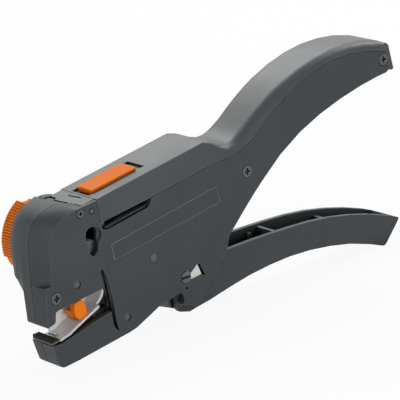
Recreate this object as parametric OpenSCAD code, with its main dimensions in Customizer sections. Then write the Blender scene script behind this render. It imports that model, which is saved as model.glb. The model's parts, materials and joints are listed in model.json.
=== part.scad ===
// Wire stripper with a crimping station, a wire cutter and a sprung lever.
// The tool stands on its chin and on the end of its open lever.
// Tool frame: x runs from the jaws to the handles, y from the near side to the
// far side, z up from the jaws. The tool is pitched so that it stands on a bench.

/* [Tool] */
// Length of the tool from the jaws to the end of the handle
tool_length = 210; // [190:1:230]
// Thickness of the body across both side plates
body_width = 23.5; // [22:0.5:27]
// Thickness of each side plate
plate_wall = 2.4; // [2:0.1:2.8]
// Depth of the near half shell, from its face to the parting line
near_depth = 7.25; // [6.5:0.25:8]
// Width of the jaws, from the near face
jaw_width = 13.25; // [12.5:0.25:14.5]
// Thickness of the partition behind the jaws
partition_wall = 2.0; // [1.5:0.1:2.2]

/* [Lever] */
// Thickness of the lever's side walls
lever_wall = 2.2; // [1.8:0.1:2.4]
// Thickness of the ribs across the lever
rib_wall = 1.4; // [1:0.1:2]

/* [Cover] */
// Thickness of the spine cover
cover_wall = 2.4; // [2:0.1:2.6]
// Depth of the slider's recess
recess_depth = 1.0; // [0.8:0.1:1.2]
// Length of the top slider
slider_length = 24.2; // [20:0.2:25]
// Width of the top slider
slider_width = 10; // [8:0.5:12]
// Height of the top slider above the spine
slider_rise = 1.2; // [1:0.1:2]
// Thickness of the label plate
label_wall = 0.3; // [0.2:0.05:0.4]

/* [Selector] */
// Radius of the ribbed thumb sector
sector_radius = 19.5; // [18:0.5:20]
// Radius of the selector's disc
disc_radius = 15; // [13:0.5:16]
// Width of the selector across the tool
selector_width = 6.5; // [5:0.25:8]
// Number of ribs on the thumb sector
sector_ribs = 21; // [11:1:25]
// Radius of the far side of the head
head_radius = 19.4; // [18:0.2:20]

/* [Fasteners] */
// Diameter of the cross pins
pin_d = 3.2; // [2.6:0.1:3.6]
// Diameter of the case screws' heads
case_head_d = 5.2; // [4.6:0.1:5.8]
// Diameter of the case screws' shanks
case_shank_d = 2.6; // [2:0.1:3]
// Diameter of the small screw's head
small_head_d = 3.4; // [3:0.1:3.6]
// Diameter of the crimp arm's pivot pin
crimp_pin_d = 1.9; // [1.6:0.1:2.2]
// Diameter of the slotted head of the pivot screw
pivot_head_d = 5.2; // [4.6:0.1:5.6]
// Diameter of the pivot screw's shoulder
pivot_d = 6; // [5:0.2:6.4]
// Wall of the bush on the pivot screw
bush_wall = 1.0; // [0.8:0.1:1.2]
// Diameter of the drive pin and of the nose pin
link_pin_d = 3; // [2.4:0.1:3.2]
// Depth of the cross recess and of the slot in the screw heads
drive_depth = 0.9; // [0.6:0.1:1]
// Height of the fasteners above the near face
head_stand = 0.15; // [0.1:0.05:0.3]

/* [Mechanism] */
// Thickness of the clamp rod, the link and the upper jaw's tail
bar_wall = 2.4; // [2:0.1:2.5]
// Thickness of the stripping knives
knife_wall = 0.8; // [0.6:0.1:1]
// Thickness of the tray's floor
tray_wall = 1.2; // [1:0.1:1.4]
// Height of the ribs on the lower clamp pad
pad_rib = 0.5; // [0.3:0.1:0.7]
// Diameter of the return spring's wire
spring_wire_d = 0.9; // [0.7:0.1:1]
// Mean radius of the return spring
spring_radius = 2.4; // [2:0.1:2.6]
// Length of the return spring
spring_length = 14; // [13:0.5:14.2]
// Number of turns of the return spring
spring_turns = 6; // [5:1:7]

/* [Clearances] */
// Gap between pieces that move past each other
running_gap = 0.35; // [0.3:0.05:0.4]
// Gap between a shaft and its hole
shaft_gap = 0.05; // [0.03:0.01:0.08]
// Gap round the sunk screw heads
seat_ring = 0.3; // [0.2:0.05:0.4]
// Width of the seams between the covers
seam_gap = 0.35; // [0.2:0.05:0.4]
// Gap between the lever and the side plates, and between the lever and the link
lever_side_gap = 0.6; // [0.5:0.05:0.8]
// Gap between the clamp rod and the lever's drive arm
drive_side_gap = 1.05; // [0.6:0.05:1.2]

/* [Hidden] */
$fn = 48;

// Cuts run this far past the faces that they open
over = 1;

// Depths across the tool
near_face = -body_width / 2;
far_face = body_width / 2;
near_inner = near_face + plate_wall;
far_inner = far_face - plate_wall;
parting = near_face + near_depth;
jaw_far = near_face + jaw_width;
jaw_inner = jaw_far - partition_wall;

// Layers of the mechanism behind the jaws, from the near side
lever_width = far_inner - near_inner - 2 * lever_side_gap;
jaw_layer = near_inner + running_gap + shaft_gap;
rod_near = near_inner + lever_wall + 2 * lever_side_gap;
rod_far = rod_near + bar_wall;
ratchet_near = 3;
ratchet_side_gap = 0.5;
arm_near = rod_far + drive_side_gap;
arm_far = ratchet_near - ratchet_side_gap;
beam_near = rod_far + running_gap;
beam_far = jaw_inner - running_gap;

// Places in the side view, as shares of the tool's length
pivot_share = [0.3457, -0.0529];
upper_pin_share = [0.0895, 0.0514];
lower_pin_share = [0.1871, -0.0657];
guide_pin_share = [0.2776, 0.0229];
crimp_pin_share = [0.16, 0.1776];
small_screw_share = [0.1329, 0.1833];
case_screw_shares = [[0.0352, 0.0471], [0.5505, 0.09], [0.9671, 0.168]];
selector_share = [0.1271, 0.1143];
chin_share = [0.0171, -0.0929];
heel_share = [0.8895, -0.2376];
drive_pin_share = [0.3476, 0.0214];
nose_pin_share = [0.331, -0.1071];
carriage_pin_share = [0.219, -0.0381];
rod_pin_share = [0.1905, 0.0319];
pawl_pin_share = [0.388, 0.104];
middle_share = 0.4805;

pitch = atan2(chin_share.y - heel_share.y, heel_share.x - chin_share.x);
function at(share) = share * tool_length;
function placed(shares) = [for (share = shares) at(share)];

// Front of the head on its centre, from the tooth to the end of the dome
front_shares = [
    [0, 0], [0.0062, 0.0562], [0.0092, 0.077], [0.0097, 0.08],
    [0.0149, 0.1086], [0.0203, 0.1405], [0.0285, 0.169], [0.0405, 0.1905],
    [0.0541, 0.2008], [0.0686, 0.2065], [0.083, 0.2088], [0.1, 0.209],
    [0.115, 0.206], [0.126, 0.1992], [0.131, 0.195], [0.168, 0.1935],
];

// The same line on the near face, inside the slanted band
near_front_shares = [
    [0.0005, 0], [0.0118, 0.0562], [0.017, 0.0775], [0.031, 0.0757],
    [0.0375, 0.1095], [0.0457, 0.1471], [0.0545, 0.1665], [0.069, 0.1829],
    [0.075, 0.187], [0.0838, 0.191], [0.092, 0.1935], [0.103, 0.195],
    [0.117, 0.196], [0.127, 0.1955], [0.131, 0.195], [0.168, 0.1935],
];

// Top edge of the shells, round the pocket and along the seam
seam_shares = [
    [0.1752, 0.193], [0.1722, 0.1445], [0.1735, 0.135], [0.179, 0.128],
    [0.1867, 0.1255], [0.2905, 0.1262], [0.2976, 0.132], [0.3029, 0.1412],
    [0.461, 0.1412], [0.4905, 0.1393], [0.512, 0.1382], [0.537, 0.1382],
    [0.552, 0.1398], [0.5665, 0.1432], [0.5915, 0.1527], [0.621, 0.169],
    [0.653, 0.1842], [0.6765, 0.194], [0.7, 0.2023], [0.7457, 0.2147],
    [0.791, 0.2207], [0.8348, 0.2207], [0.8776, 0.215], [0.92, 0.2036],
    [0.9615, 0.1878], [0.977, 0.1815],
];

// Lower edge of the handle and rear edge of the body
handle_shares = [
    [0.978, 0.1595], [0.977, 0.141], [0.9681, 0.1378], [0.9438, 0.1393],
    [0.8895, 0.1388], [0.8286, 0.1345], [0.7676, 0.126], [0.7057, 0.1114],
    [0.6429, 0.0875], [0.5924, 0.0595], [0.56, 0.0405], [0.5257, 0.0178],
    [0.4914, -0.0057], [0.472, -0.019], [0.4586, -0.0471],
];

// Bottom of the body, round the notch by the lever's nose, to the chin
bottom_shares = [
    [0.3586, -0.1243], [0.341, -0.1135], [0.3235, -0.1045],
    [0.329, -0.098], [0.331, -0.0905], [0.329, -0.083], [0.3243, -0.0776],
    [0.2943, -0.0786], [0.2671, -0.08], [0.2243, -0.091],
    [0.2014, -0.0968], [0.1829, -0.0978], [0.0543, -0.0952],
    [0.0171, -0.0929], [0.0105, -0.0895], [0.0062, -0.084],
    [0.003, -0.062], [0.0005, -0.0395], [0.022, -0.0443],
    [0.0695, -0.041],
];

// Mouth of the jaws and the curved slot behind it
mouth_shares = [
    [0.1505, -0.0357], [0.1505, -0.05], [0.15, -0.0652], [0.1535, -0.0755],
    [0.1567, -0.0805], [0.161, -0.083], [0.159, -0.074], [0.1585, -0.0648],
    [0.1595, -0.05], [0.1614, -0.0333], [0.1624, -0.0095],
    [0.1619, 0.0167], [0.1595, 0.0357], [0.1557, 0.0495], [0.153, 0.053],
    [0.1485, 0.0538], [0.1515, 0.05], [0.1538, 0.0429], [0.1543, 0.0252],
    [0.1495, 0.0176], [0.0343, 0.0229], [0.0262, 0.0214],
    [0.0214, 0.0043], [0.0181, 0.0014],
];

// Room for the mechanism inside both shells
room_shares = [
    [0.0115, 0], [0.019, 0.06], [0.03, 0.078], [0.038, 0.108],
    [0.046, 0.1405], [0.056, 0.1605], [0.07, 0.173], [0.09, 0.179],
    [0.116, 0.182], [0.126, 0.185], [0.144, 0.1885],
    [0.19, 0.1885], [0.19, 0.16], [0.53, 0.16], [0.62, 0.2], [0.75, 0.235], [0.85, 0.24],
    [0.953, 0.213], [0.953, 0.15], [0.9, 0.1495], [0.83, 0.1455],
    [0.768, 0.137], [0.706, 0.122], [0.643, 0.0985], [0.61, 0.08],
    [0.61, 0.04], [0.55, -0.02], [0.47, -0.08], [0.4, -0.14],
    [0.3, -0.14], [0.215, -0.1], [0.213, -0.086], [0.2, -0.0875],
    [0.0543, -0.085], [0.023, -0.083], [0.0165, -0.078],
    [0.013, -0.06], [0.0105, -0.04],
];

// Room on the far side, behind the partition
far_room_shares = [
    [0.168, -0.087], [0.168, 0.16], [0.178, 0.1885], [0.19, 0.1885],
    [0.19, 0.16],
    [0.53, 0.16], [0.62, 0.2], [0.75, 0.235], [0.85, 0.24],
    [0.953, 0.213], [0.953, 0.15], [0.9, 0.1495], [0.83, 0.1455],
    [0.768, 0.137], [0.706, 0.122], [0.643, 0.0985], [0.61, 0.08],
    [0.61, 0.04], [0.55, -0.02], [0.47, -0.08], [0.4, -0.14],
    [0.3, -0.14], [0.215, -0.1], [0.213, -0.086], [0.2, -0.0875],
];

// Outer edge of the far side: the head and the body without the jaws
far_bottom_shares = [
    [0.3586, -0.1243], [0.341, -0.1135], [0.3235, -0.1045],
    [0.329, -0.098], [0.331, -0.0905], [0.329, -0.083], [0.3243, -0.0776],
    [0.2943, -0.0786], [0.2671, -0.08], [0.2243, -0.091],
    [0.2014, -0.0968], [0.176, -0.0978], [0.168, -0.093], [0.1624, -0.084],
    [0.16, -0.06], [0.1614, -0.0333], [0.162, 0.004], [0.156, 0.014],
    [0.1495, 0.0176],
];
// Lower front of the far side: beside the jaws, and further out
near_nose_shares = [[0.0343, 0.0225], [0.004, 0.024]];
far_nose_shares = [[0.062, 0.035], [0.0285, 0.068]];

// Stretches the flat tool outline between two depths
module slab(from, to) {
    translate([0, to, 0]) rotate([90, 0, 0]) linear_extrude(to - from)
        children();
}

module plate(shares, from, to) {
    slab(from, to) polygon(placed(shares));
}

// A round bar across the tool
module cross(share, d, from, to) {
    place = at(share);
    translate([place.x, to, place.y]) rotate([90, 0, 0])
        cylinder(d = d, h = to - from);
}

// A bar with round ends across the tool, between two places
module strap(a, b, width, from, to) {
    pa = at(a);
    pb = at(b);
    run = norm(pb - pa);
    cross(a, width, from, to);
    cross(b, width, from, to);
    translate([pa.x, 0, pa.y])
        rotate([0, -atan2(pb.y - pa.y, pb.x - pa.x), 0])
        translate([0, from, -width / 2]) cube([run, to - from, width]);
}

// Sets the tool on the bench, with the origin under the middle of its box
module stand() {
    low = at(chin_share);
    drop = low.x * sin(pitch) + low.y * cos(pitch);
    mid_y = (far_face + running_gap + selector_width + near_face) / 2;
    translate([-middle_share * tool_length, -mid_y, -drop])
        rotate([0, -pitch, 0]) children();
}

// Cuts a flat outline into triangles, one ear at a time
function turn(a, b, c) = (b.x - a.x) * (c.y - a.y) - (b.y - a.y) * (c.x - a.x);
function covers(p, a, b, c) =
    turn(a, b, p) >= 0 && turn(b, c, p) >= 0 && turn(c, a, p) >= 0;
function is_ear(points, left, k) = let (
        n = len(left),
        a = points[left[(k + n - 1) % n]],
        b = points[left[k]],
        c = points[left[(k + 1) % n]])
    turn(a, b, c) > 0
    && len([for (j = [2:n - 2]) if (covers(points[left[(k + j) % n]], a, b, c))
        1]) == 0;
function ears(points, left, k = 0, tries = 0, found = []) =
    len(left) == 3 || tries > len(left) ? concat(found, [left]) :
    let (n = len(left), at = k % n)
    is_ear(points, left, at)
        ? ears(points, [for (j = [0:n - 1]) if (j != at) left[j]], at, 0,
            concat(found, [[left[(at + n - 1) % n], left[at],
                left[(at + 1) % n]]]))
        : ears(points, left, at + 1, tries + 1, found);
function side_cap(ring) = ears([for (p = ring) [p.x, p.z]],
    [for (i = [len(ring) - 1:-1:0]) i]);
function turned(cap, by) = [for (t = cap) [for (i = [len(t) - 1:-1:0]) t[i] + by]];

// Skins a solid over rings of points that all have the same count
module loft(rings, first_cap, last_cap) {
    n = len(rings[0]);
    m = len(rings);
    points = [for (ring = rings) each ring];
    sides = [
        for (j = [0:m - 2]) for (i = [0:n - 1])
            let (a = j * n + i, b = j * n + (i + 1) % n)
            each [[a, b, b + n], [a, b + n, a + n]]
    ];
    whole = [[for (i = [n - 1:-1:0]) i]];
    start = is_undef(first_cap) ? whole : first_cap;
    end = turned(is_undef(last_cap) ? whole : last_cap, (m - 1) * n);
    polyhedron(points = points, faces = concat(sides, start, end));
}

function mixed(a, b, t) = [for (i = [0:len(a) - 1]) a[i] * (1 - t) + b[i] * t];
function ring(shares, y) = [for (s = shares) [at(s).x, y, at(s).y]];

// Outline of the near side, from the centre (0) out to the near face (1)
function near_outline(t) = concat(mixed(front_shares, near_front_shares, t),
    seam_shares, handle_shares, bottom_shares, mouth_shares);

// Near half of the body: side plate, head, lower jaw and half of the handle
band_steps = 6;
band_margin = 0.25;
band_bulge_share = 0.55;
module near_shell() {
    band = near_depth - band_margin;
    rings = [
        ring(near_outline(0), parting),
        for (i = [band_steps:-1:0])
            let (s = i / band_steps)
            ring(near_outline((1 - s) * (1 - band_bulge_share * s)),
                near_face + band * s),
    ];
    color("#45484a") difference() {
        loft(rings, side_cap(rings[0]), side_cap(rings[band_steps + 1]));
        plate(room_shares, near_inner, parting + over);
        near_openings();
        lid_seat();
    }
    color("#45484a") case_bosses(near_inner, jaw_inner);
}

// Tube round the front case screw
boss_wall = 1.7;
module case_bosses(from, to) {
    difference() {
        cross(case_screw_shares[0], case_shank_d + 2 * boss_wall, from, to);
        cross(case_screw_shares[0], case_shank_d + 2 * shaft_gap,
            from - over, to + over);
    }
}

// Crimping port in the near side
port_top_share = [0.1475, 0.1325];
port_top_d = 6.6;
port_low_shares = [
    [0.1335, 0.126], [0.1335, 0.0976], [0.138, 0.0905], [0.1435, 0.0886],
    [0.1533, 0.0955], [0.159, 0.1095], [0.1605, 0.128],
];
port_rim_share = [0.1525, 0.128];
port_rim_d = 7.4;
port_rim_depth = 0.9;
module near_openings() {
    cross(port_top_share, port_top_d, near_face - over, near_inner + over);
    cross(port_rim_share, port_rim_d, near_face - over,
        near_face + port_rim_depth);
    plate(port_low_shares, near_face - over, near_inner + over);
    fixed_pin_holes(near_face - over, near_inner + over);
    for (share = case_screw_shares) {
        cross(share, case_head_d + 2 * seat_ring, near_face - over,
            near_face + head_seat);
        cross(share, case_shank_d + 2 * shaft_gap, near_face,
            parting + over);
    }
    cross(small_screw_share, small_head_d + 2 * seat_ring,
        near_face - over, near_face + head_seat);
    cross(small_screw_share, small_shank_d + 2 * shaft_gap, near_face,
        parting + over);
    cross(crimp_pin_share, crimp_pin_d + 2 * shaft_gap, near_face - over,
        near_inner + over);
    cross(crimp_pin_share, crimp_pin_d + 2 * pin_ring, near_face - over,
        near_face + pin_ring_depth);
    cross(oil_hole_share, oil_hole_d, near_face - over,
        near_face + head_seat);
    cross(pivot_share, pivot_head_d + 2 * seat_ring, near_face - over,
        near_face + head_seat);
    cross(pivot_share, pivot_neck_d + 2 * shaft_gap, near_face,
        near_inner + over);
    plate(cutter_port_shares, near_face - over, near_inner + over);
    slot_scoop();
    slab(near_inner - blade_wall - shaft_gap, near_inner + over)
        offset(delta = seam_gap) polygon(placed(blade_shares));
    plate(label_shares, near_face - over, near_face + label_wall + shaft_gap);
}

// Groove round the crimp arm's pin, and the small hole under the pivot
pin_ring = 0.55;
pin_ring_depth = 0.4;
oil_hole_share = [0.3413, -0.0753];
oil_hole_d = 1.3;

// Rounded edge of the side plate beside the top of the curved slot
scoop_from_share = [0.135, 0.01];
scoop_to_share = [0.155, 0.0548];
scoop_depth = 1.6;
scoop_steps = 5;
module slot_scoop() {
    from = at(scoop_from_share);
    to = at(scoop_to_share);
    run = to.x - from.x;
    translate([0, 0, from.y]) linear_extrude(to.y - from.y)
        polygon(concat(
            [[from.x, near_face - over], [to.x, near_face - over]],
            [for (i = [scoop_steps:-1:0]) let (a = 90 * i / scoop_steps)
                [from.x + run * sin(a),
                    near_face + scoop_depth * (1 - cos(a))]]));
}

// Depth of the seats for the screw heads
head_seat = 1.2;
small_shank_d = 1.6;

// Holes for the cross pins in a side plate
module fixed_pin_holes(from, to) {
    for (share = [upper_pin_share, lower_pin_share, guide_pin_share])
        cross(share, pin_d + 2 * shaft_gap, from, to);
}

// Seat of the spine cover's tongue on top of the head, with open slits in
// front of it. The plan points are shares of the length and of the width.
lid_floor_share = 0.187;
lid_top_share = 0.1938;
lid_cut = 6;
lid_shares = [
    [0.1462, -0.421], [0.1387, 0.235], [0.1452, 0.28], [0.147, 0.4617],
    [0.195, 0.4617], [0.195, -0.421],
];
near_slit_shares = [
    [0.147, -0.435], [0.1424, -0.435], [0.1402, -0.2426],
    [0.144, -0.2426],
];
middle_slit_shares = [
    [0.144, -0.1106], [0.137, -0.1106], [0.1335, 0.2255], [0.14, 0.235],
];
far_slit_shares = [
    [0.1405, 0.26], [0.142, 0.55], [0.2, 0.55], [0.2, 0.45],
    [0.149, 0.45], [0.147, 0.26],
];
tongue_slit_shares = [
    [0.1665, -0.149], [0.1622, 0.16], [0.1662, 0.16], [0.1708, -0.149],
];
function plan(shares) =
    [for (s = shares) [s.x * tool_length, s.y * body_width]];
module lid_seat() {
    translate([0, 0, lid_floor_share * tool_length])
        linear_extrude(lid_cut) {
            offset(delta = seam_gap) polygon(plan(lid_shares));
            polygon(plan(near_slit_shares));
            polygon(plan(middle_slit_shares));
            polygon(plan(far_slit_shares));
        }
}

// Outline of the far side, from beside the jaws out to the far face
dome_end_share = 0.12;
far_drop_share = 0.0045;
function far_target(s) =
    let (d = s - selector_share, r = norm(d) * tool_length)
    s.x > dome_end_share ? s - [0, far_drop_share]
        : selector_share + d * head_radius / r;
far_front_shares = [for (i = [3:len(front_shares) - 1]) front_shares[i]];
far_face_shares = [for (s = far_front_shares) far_target(s)];
function far_outline(t) = concat(
    mixed(near_nose_shares, far_nose_shares, min(1, nose_haste * t)),
    mixed(far_front_shares, far_face_shares, 1 - sqrt(1 - t * t)),
    seam_shares, handle_shares, far_bottom_shares);

// Frame behind the jaws: the far side of the mouth, with its partition
far_steps = 4;
nose_haste = 1.6;
module jaw_frame() {
    color("#3f4244") difference() {
        plate(near_outline(0), parting + seam_gap, jaw_far - shaft_gap);
        plate(room_shares, parting - over, jaw_inner);
        plate(far_room_shares, parting - over, jaw_far + over);
        fixed_pin_holes(parting, jaw_far + over);
        cross(case_screw_shares[0], case_shank_d + 2 * shaft_gap, parting,
            jaw_far - partition_wall / 2 + running_gap);
        cross(small_screw_share, small_shank_d + 2 * shaft_gap, parting,
            jaw_far - partition_wall / 2 + running_gap);
        lid_seat();
        translate([liner_share * tool_length, near_face, -tool_length])
            cube([tool_length, body_width, 2 * tool_length]);
    }
}
liner_share = 0.4;

// Liner between the two halves of the handle, along its lower edge
module handle_liner() {
    color("#3f4244") difference() {
        plate(near_outline(0), parting + seam_gap, jaw_far - shaft_gap);
        plate(far_room_shares, parting - over, jaw_far + over);
        translate([liner_share * tool_length - tool_length, near_face,
                -tool_length])
            cube([tool_length, body_width, 2 * tool_length]);
        for (i = [1, 2])
            cross(case_screw_shares[i], case_shank_d + 2 * shaft_gap,
                parting, jaw_far + over);
    }
}

// Far half of the body: side plate, magazine and half of the handle
module far_shell() {
    rings = [
        for (i = [far_steps:-1:0])
            let (t = sin(90 * i / far_steps))
            ring(far_outline(t), jaw_far + (far_face - jaw_far) * t),
    ];
    color("#3f4244") difference() {
        loft(rings, side_cap(rings[0]), side_cap(rings[far_steps]));
        plate(far_room_shares, parting - over, far_inner);
        cross(selector_share, 2 * drum_room, jaw_far - over, far_inner);
        cross(selector_share, selector_shaft_d + 2 * shaft_gap,
            far_inner - over, far_face + over);
        for (share = [lower_pin_share, guide_pin_share])
            cross(share, pin_d + 2 * shaft_gap, parting, far_face + over);
        for (i = [1, 2])
            cross(case_screw_shares[i], case_shank_d + 2 * shaft_gap,
                parting, far_face - cover_skin);
        cross(pivot_share, pivot_neck_d + 2 * shaft_gap, parting,
            far_face + over);
        cross(pivot_share, nut_d + 2 * seam_gap, far_face - nut_wall,
            far_face + over);
        lid_seat();
    }
}
drum_room = 14.2;
cover_skin = 1;
pivot_neck_d = 3.4;
nut_d = 7;
nut_wall = 1.2;
selector_shaft_d = 6;

// Raised rim that hides the rear of the selector
guard_wall = 1.5;
guard_height_share = 0.6;
guard_from_angle = -137;
guard_to_angle = 86;
module selector_guard() {
    inner = disc_radius + running_gap;
    place = at(selector_share);
    color("#3f4244") translate([place.x, far_face, place.y])
        rotate([-90, 0, 0]) rotate([0, 0, -guard_to_angle])
        rotate_extrude(angle = guard_to_angle - guard_from_angle)
        translate([inner, 0])
        square([guard_wall, selector_width * guard_height_share]);
}

// Stations along the spine cover: seam, crown and corner radius
cover_seam_shares = [
    [0.1738, 0.1455], [0.3029, 0.1424], [0.4552, 0.1424], [0.4705, 0.1418],
    [0.489, 0.1405], [0.511, 0.1394], [0.537, 0.1394], [0.5515, 0.141],
    [0.566, 0.1444], [0.591, 0.1539], [0.6205, 0.1702], [0.6524, 0.1854],
    [0.676, 0.1952], [0.6995, 0.2035], [0.7457, 0.2159], [0.791, 0.2219],
    [0.8348, 0.2219], [0.8776, 0.2162], [0.92, 0.2048], [0.9619, 0.189],
    [0.981, 0.181],
];
cover_crown_shares = [
    [0.1767, 0.1945], [0.3029, 0.1948], [0.4552, 0.1952], [0.474, 0.1878],
    [0.496, 0.1722], [0.517, 0.1638], [0.5345, 0.1628], [0.547, 0.165],
    [0.5595, 0.169], [0.5825, 0.1785], [0.6105, 0.1925], [0.6415, 0.2065],
    [0.6665, 0.2165], [0.692, 0.2245], [0.7415, 0.2355], [0.791, 0.2413],
    [0.8375, 0.2415], [0.8825, 0.236], [0.928, 0.225], [0.971, 0.2075],
    [0.9865, 0.197],
];
cover_corner = [
    0.6, 0.6, 0.6, 1.2, 2.4, 4.2, 5.2, 5.8, 6, 6, 6, 6, 6, 6, 6, 6, 6, 5.6,
    4.6, 3.2, 2.6,
];
corner_cuts = 5;
seam_edge = 0.3;

// End of the U-shaped section, as a strip of triangles
arch_count = 4 * corner_cuts + 8;
arch_cap = [
    for (i = [0:arch_count / 2 - 2])
        let (j = arch_count - 1 - i)
        each [[i + 1, i, j], [i + 1, j, j - 1]]
];

// One closed ring round the U-shaped section of the cover
function cover_arch(seam, crown, corner, half, sink) = let (
        rise = norm(crown - seam),
        up = (crown - seam) / rise,
        top = rise - sink,
        r = max(min(corner, rise - seam_edge) - sink, seam_edge))
    [for (side = [-1, 1]) for (i = [0:corner_cuts])
        let (k = side < 0 ? i : corner_cuts - i,
            a = 90 * k / corner_cuts,
            y = side * (half - r * (1 - cos(a))),
            h = top - r * (1 - sin(a)))
        [seam.x + up.x * h, y, seam.y + up.y * h]];
function cover_ring(i) = let (
        seam = at(cover_seam_shares[i]),
        crown = at(cover_crown_shares[i]),
        outer = cover_arch(seam, crown, cover_corner[i], body_width / 2, 0),
        inner = cover_arch(seam, crown, cover_corner[i],
            body_width / 2 - cover_wall, cover_wall),
        n = len(inner))
    concat(
        [[seam.x, -body_width / 2, seam.y]], outer,
        [[seam.x, body_width / 2, seam.y],
         [seam.x, body_width / 2 - cover_wall, seam.y]],
        [for (j = [n - 1:-1:0]) inner[j]],
        [[seam.x, -body_width / 2 + cover_wall, seam.y]]);

// End of the cover, a lip that hangs over the end of the handle
end_lip_shares = [
    [0.979, 0.182], [0.9845, 0.198], [0.9895, 0.1925], [0.993, 0.137],
    [0.985, 0.1365], [0.981, 0.142],
];
module spine_cover() {
    color("#4b4e50") difference() {
        union() {
            loft([for (i = [0:len(cover_seam_shares) - 1]) cover_ring(i)],
                arch_cap, arch_cap);
            plate(end_lip_shares, -body_width / 2 + end_lip_inset,
                body_width / 2 - end_lip_inset);
            cover_tongue();
        }
        slider_recess();
    }
}
end_lip_inset = 0.4;

module cover_tongue() {
    floor_z = lid_floor_share * tool_length + seam_gap;
    top_z = lid_top_share * tool_length;
    translate([0, 0, floor_z]) linear_extrude(top_z - floor_z)
        difference() {
            polygon(plan(lid_shares));
            polygon(plan(tongue_slit_shares));
        }
}

slider_front_share = 0.192;
recess_front_share = 0.1805;
recess_back_share = 0.3255;
spine_top_share = 0.1946;
module slider_recess() {
    top_z = spine_top_share * tool_length;
    front_x = recess_front_share * tool_length;
    back_x = recess_back_share * tool_length;
    half = slider_width / 2 + running_gap;
    translate([front_x, -half, top_z - recess_depth])
        cube([back_x - front_x, 2 * half, slider_rise + over]);
    stem_x = slider_front_share * tool_length + slider_length / 2;
    translate([stem_x - stem_length / 2 - slider_travel - running_gap,
            -stem_width / 2 - running_gap, top_z - cover_wall - over])
        cube([stem_length + 2 * slider_travel + 2 * running_gap,
            stem_width + 2 * running_gap, cover_wall + 2 * over]);
}
slider_travel = 2;
stem_length = 8;
stem_width = 3;

// Orange slider on the spine, with its stem through the cover
slider_round = 1.2;
module top_slider() {
    front_x = slider_front_share * tool_length;
    top_z = spine_top_share * tool_length;
    bottom_z = top_z - recess_depth + shaft_gap;
    color("#f08030") {
        translate([front_x, 0, bottom_z])
            linear_extrude(recess_depth - shaft_gap + slider_rise)
            offset(r = slider_round) offset(delta = -slider_round)
            translate([0, -slider_width / 2])
            square([slider_length, slider_width]);
        translate([front_x + slider_length / 2 - stem_length / 2,
                -stem_width / 2, top_z - cover_wall - clip_drop])
            cube([stem_length, stem_width, bottom_z - top_z + cover_wall
                + clip_drop + shaft_gap]);
    }
}
clip_drop = 1.4;

// Spring clip under the cover that holds the slider
clip_wall = 0.8;
clip_margin = 2.5;
module slider_clip() {
    front_x = slider_front_share * tool_length;
    top_z = spine_top_share * tool_length - cover_wall - 2 * shaft_gap;
    mid = front_x + slider_length / 2;
    color("#b8bcbe") difference() {
        translate([mid - stem_length / 2 - clip_margin,
                -stem_width / 2 - clip_margin, top_z - clip_wall])
            cube([stem_length + 2 * clip_margin,
                stem_width + 2 * clip_margin, clip_wall]);
        translate([mid - stem_length / 2 - shaft_gap,
                -stem_width / 2 - shaft_gap, top_z - clip_wall - over])
            cube([stem_length + 2 * shaft_gap, stem_width + 2 * shaft_gap,
                clip_wall + 2 * over]);
    }
}

// Bare label plate, set into the near side
label_shares = [
    [0.1845, 0.0955], [0.465, 0.0967], [0.4685, 0.0935], [0.4695, 0.0615],
    [0.466, 0.0578], [0.184, 0.0571],
];
label_edge = 0.12;
label_sink = label_wall / 4;
module label_plate() {
    color("#4d5052") slab(near_face + label_sink, near_face + label_wall)
        offset(delta = -label_edge) polygon(placed(label_shares));
}

// Fixed half of the crimping station, seen through the port
anvil_shares = [
    [0.128, 0.119], [0.1429, 0.119], [0.153, 0.1172], [0.1585, 0.1125],
    [0.16, 0.106], [0.157, 0.0995], [0.1481, 0.092], [0.128, 0.088],
];
module crimp_anvil() {
    color("#7c7f80") plate(anvil_shares, near_inner + shaft_gap, jaw_inner);
}

// Rail that guides the ferrules, seen in the pocket below the spine, with a
// flange that lies behind the side plate
track_shares = [
    [0.187, 0.1272], [0.2895, 0.1278], [0.2925, 0.1312], [0.184, 0.1305],
];
flange_shares = [
    [0.215, 0.118], [0.285, 0.118], [0.285, 0.131], [0.215, 0.131],
];
track_near = 1.2;
track_back = 0.25;
flange_wall = 1.2;
module ferrule_track() {
    color("#5a5d60") {
        plate(track_shares, near_face + track_near, near_inner + track_back);
        plate(flange_shares, near_inner + shaft_gap,
            near_inner + flange_wall);
    }
}

// Cross pins: the jaws' pins end just below the near face
pin_sink = 0.4;
module fixed_pin(share, from, to) {
    color("#7d8082") cross(share, pin_d, from, to);
}
module jaw_pin_upper() {
    fixed_pin(upper_pin_share, near_face + pin_sink, jaw_far);
}
module jaw_pin_lower() {
    fixed_pin(lower_pin_share, near_face + pin_sink, far_face);
}
module guide_pin() {
    fixed_pin(guide_pin_share, near_face - head_stand, far_face);
}
module crimp_pin() {
    color("#7d8082") cross(crimp_pin_share, crimp_pin_d,
        near_face - head_stand, crimp_layer_far + running_gap);
}

// A countersunk screw with a cross recess
module cross_screw(share, head_d, shank_d, tip) {
    place = at(share);
    difference() {
        union() {
            cross(share, head_d, near_face - head_stand,
                near_face + head_seat - shaft_gap);
            cross(share, shank_d, near_face, tip);
        }
        for (turn = [0, 90])
            translate([place.x, near_face - head_stand, place.y])
                rotate([0, turn + pitch, 0])
                cube([head_d * cross_share, 2 * drive_depth,
                    head_d * cross_web_share], center = true);
    }
}
cross_share = 0.56;
cross_web_share = 0.16;

module case_screws() {
    color("#8c8f90") {
        cross_screw(case_screw_shares[0], case_head_d, case_shank_d,
            jaw_inner + partition_wall / 2);
        for (i = [1, 2])
            cross_screw(case_screw_shares[i], case_head_d, case_shank_d,
                far_face - cover_skin - running_gap);
    }
}
module small_screw() {
    color("#6e7173") cross_screw(small_screw_share, small_head_d,
        small_shank_d, jaw_inner + partition_wall / 2);
}

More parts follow.
